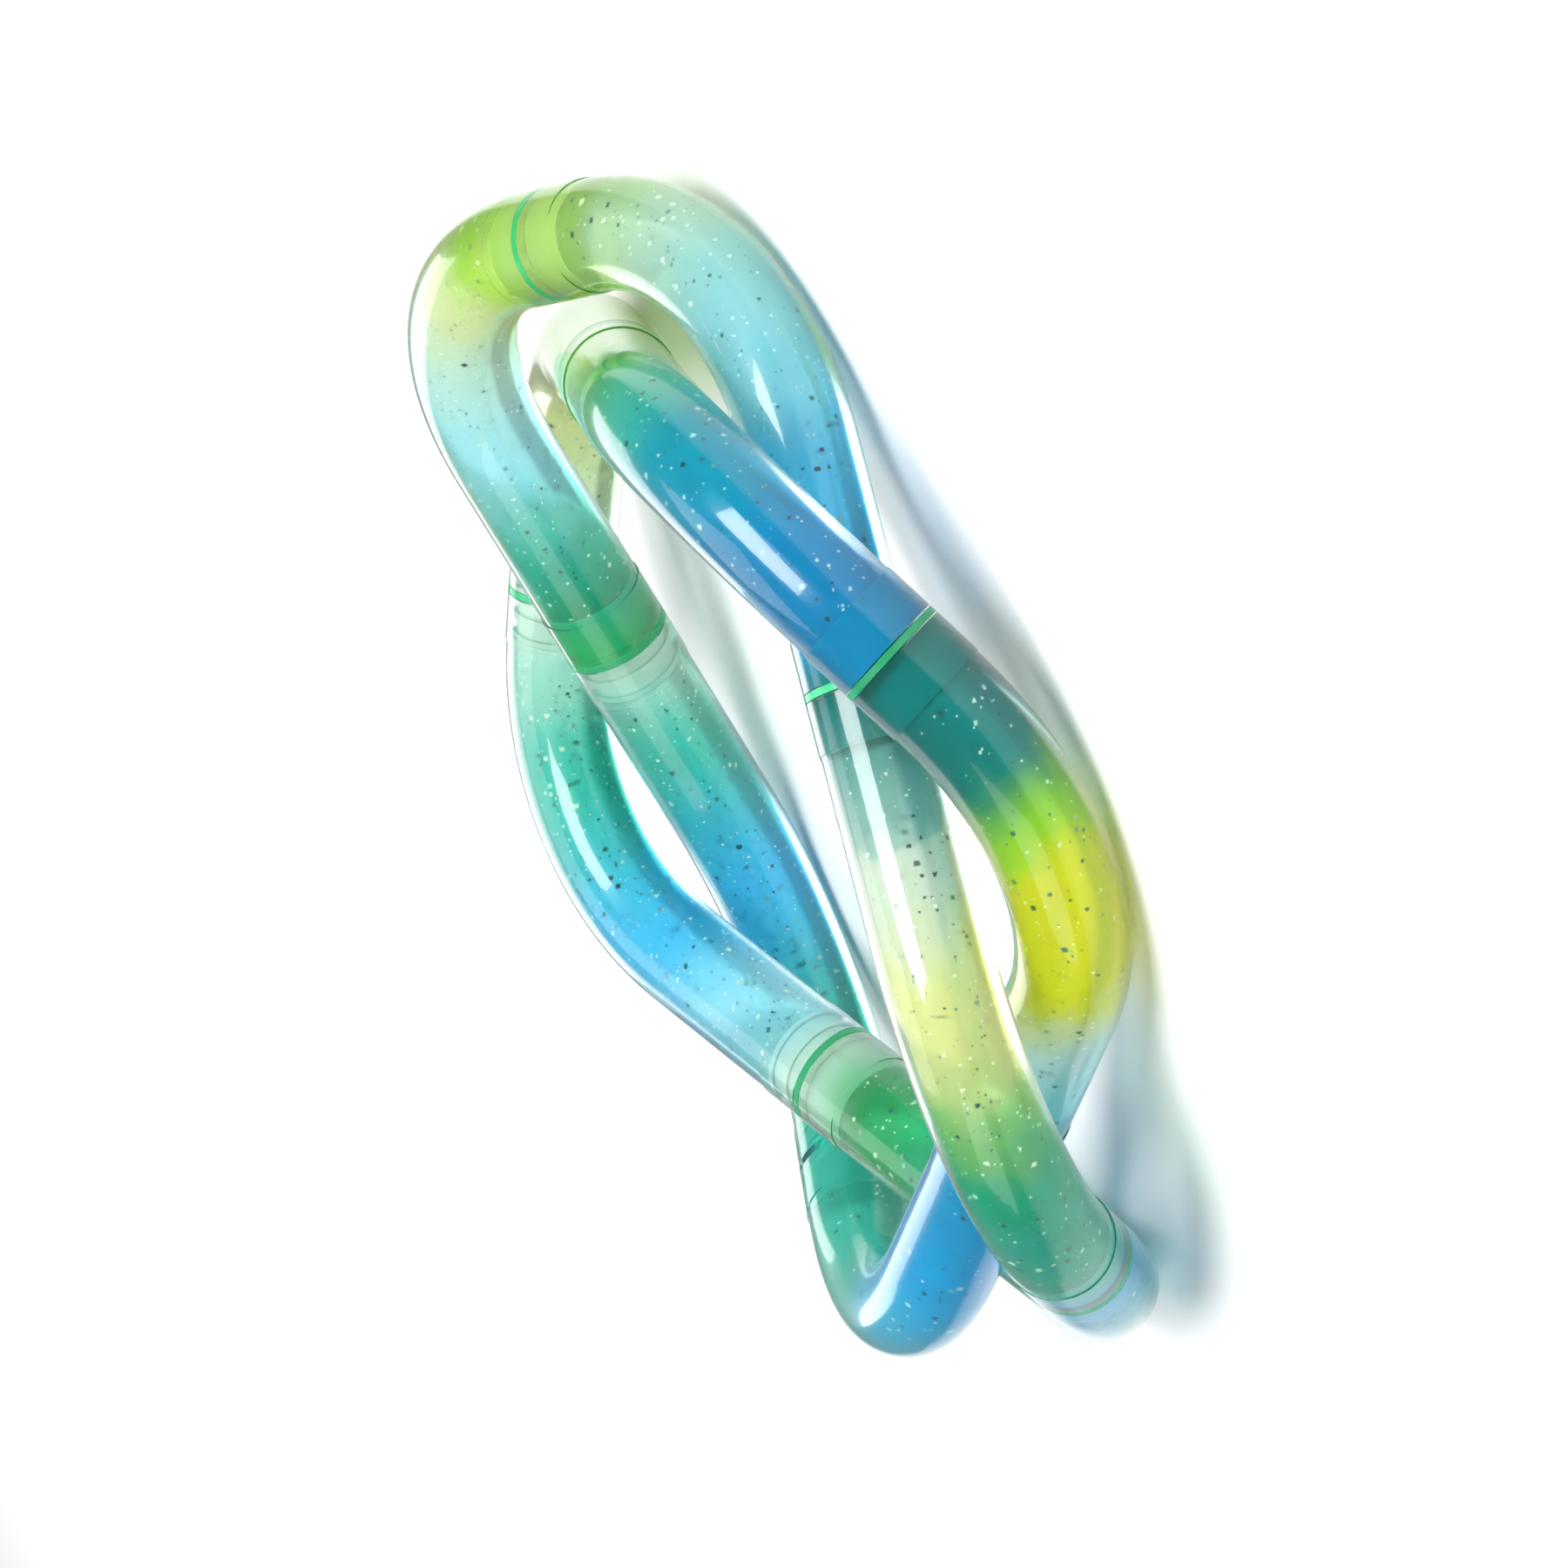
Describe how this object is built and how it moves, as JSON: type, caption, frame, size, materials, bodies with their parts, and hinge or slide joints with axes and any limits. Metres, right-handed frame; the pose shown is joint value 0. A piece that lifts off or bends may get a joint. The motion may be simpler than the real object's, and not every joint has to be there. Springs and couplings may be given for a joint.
{
  "type": "twisty snake puzzle",
  "caption": "Closed chain of clear gel-filled tube links on snap swivels, wound twice into a twisted ring that is worn as a bracelet and twisted by hand",
  "frame": {"origin": "centre of the ring's opening, in its middle plane", "axes": "+Z along the ring's axis, +X through the outermost swivel that faces the viewer in the picture"},
  "size_m": [0.1032, 0.1054, 0.0206],
  "materials": {
    "clear_tube": "clear, polished",
    "gel_azure": "coloured gel with fine glitter",
    "gel_sky": "coloured gel with fine glitter",
    "gel_teal": "coloured gel with fine glitter",
    "gel_green": "coloured gel with fine glitter",
    "gel_lime": "coloured gel with fine glitter",
    "plug_plastic": "clear, ribbed",
    "pin_plastic": "moulded, green"
  },
  "bodies": {
    "coil": {"link_tube_2": "clear_tube", "gel_core_2": "gel_teal", "outer_plug_2": "plug_plastic", "inner_plug_2": "plug_plastic", "link_tube_3": "clear_tube", "gel_core_3": "gel_azure", "outer_plug_3": "plug_plastic", "inner_plug_3": "plug_plastic", "link_tube_4": "clear_tube", "gel_core_4": "gel_lime", "outer_plug_4": "plug_plastic", "inner_plug_4": "plug_plastic", "link_tube_5": "clear_tube", "gel_core_5": "gel_lime", "outer_plug_5": "plug_plastic", "inner_plug_5": "plug_plastic", "link_tube_6": "clear_tube", "gel_core_6": "gel_teal", "outer_plug_6": "plug_plastic", "inner_plug_6": "plug_plastic", "link_tube_7": "clear_tube", "gel_core_7": "gel_green", "outer_plug_7": "plug_plastic", "inner_plug_7": "plug_plastic", "link_tube_8": "clear_tube", "gel_core_8": "gel_sky", "outer_plug_8": "plug_plastic", "inner_plug_8": "plug_plastic", "link_tube_9": "clear_tube", "gel_core_9": "gel_lime", "outer_plug_9": "plug_plastic", "inner_plug_9": "plug_plastic"},
    "link_1": {"link_tube_1": "clear_tube", "gel_core_1": "gel_azure", "outer_plug_1": "plug_plastic", "inner_plug_1": "plug_plastic"},
    "link_10": {"link_tube_10": "clear_tube", "gel_core_10": "gel_green", "outer_plug_10": "plug_plastic", "inner_plug_10": "plug_plastic", "clasp_pin": "pin_plastic"},
    "pin_1": {"swivel_pin_1": "pin_plastic"},
    "pin_2": {"swivel_pin_2": "pin_plastic"},
    "pin_3": {"swivel_pin_3": "pin_plastic"},
    "pin_4": {"swivel_pin_4": "pin_plastic"},
    "pin_5": {"swivel_pin_5": "pin_plastic"},
    "pin_6": {"swivel_pin_6": "pin_plastic"},
    "pin_7": {"swivel_pin_7": "pin_plastic"},
    "pin_8": {"swivel_pin_8": "pin_plastic"},
    "pin_9": {"swivel_pin_9": "pin_plastic"}
  },
  "joints": [
    {"name": "link_1_swivel", "type": "hinge", "parent": "coil", "child": "link_1", "pos_m": [0.01117, -0.03438, 0], "axis": [0.9284, 0.3017, -0.2169], "continuous": true},
    {"name": "link_10_swivel", "type": "hinge", "parent": "coil", "child": "link_10", "pos_m": [-0.02925, 0.02125, 0], "axis": [-0.5738, -0.7897, -0.2169], "continuous": true},
    {"name": "pin_1_turn", "type": "hinge", "parent": "coil", "child": "pin_1", "pos_m": [0.01117, -0.03438, 0], "axis": [0.9284, 0.3017, -0.2169], "continuous": true},
    {"name": "pin_2_turn", "type": "hinge", "parent": "coil", "child": "pin_2", "pos_m": [0.048, 0, 0], "axis": [0, 0.9336, 0.3584], "continuous": true},
    {"name": "pin_3_turn", "type": "hinge", "parent": "coil", "child": "pin_3", "pos_m": [0.01117, 0.03438, 0], "axis": [-0.9284, 0.3017, -0.2169], "continuous": true},
    {"name": "pin_4_turn", "type": "hinge", "parent": "coil", "child": "pin_4", "pos_m": [-0.03883, 0.02821, 0], "axis": [-0.5487, -0.7553, 0.3584], "continuous": true},
    {"name": "pin_5_turn", "type": "hinge", "parent": "coil", "child": "pin_5", "pos_m": [-0.02925, -0.02125, 0], "axis": [0.5738, -0.7897, -0.2169], "continuous": true},
    {"name": "pin_6_turn", "type": "hinge", "parent": "coil", "child": "pin_6", "pos_m": [0.01483, -0.04565, 0], "axis": [0.8879, 0.2885, 0.3584], "continuous": true},
    {"name": "pin_7_turn", "type": "hinge", "parent": "coil", "child": "pin_7", "pos_m": [0.03615, 0, 0], "axis": [0, 0.9762, -0.2169], "continuous": true},
    {"name": "pin_8_turn", "type": "hinge", "parent": "coil", "child": "pin_8", "pos_m": [0.01483, 0.04565, 0], "axis": [-0.8879, 0.2885, 0.3584], "continuous": true},
    {"name": "pin_9_turn", "type": "hinge", "parent": "coil", "child": "pin_9", "pos_m": [-0.02925, 0.02125, 0], "axis": [-0.5738, -0.7897, -0.2169], "continuous": true}
  ]
}
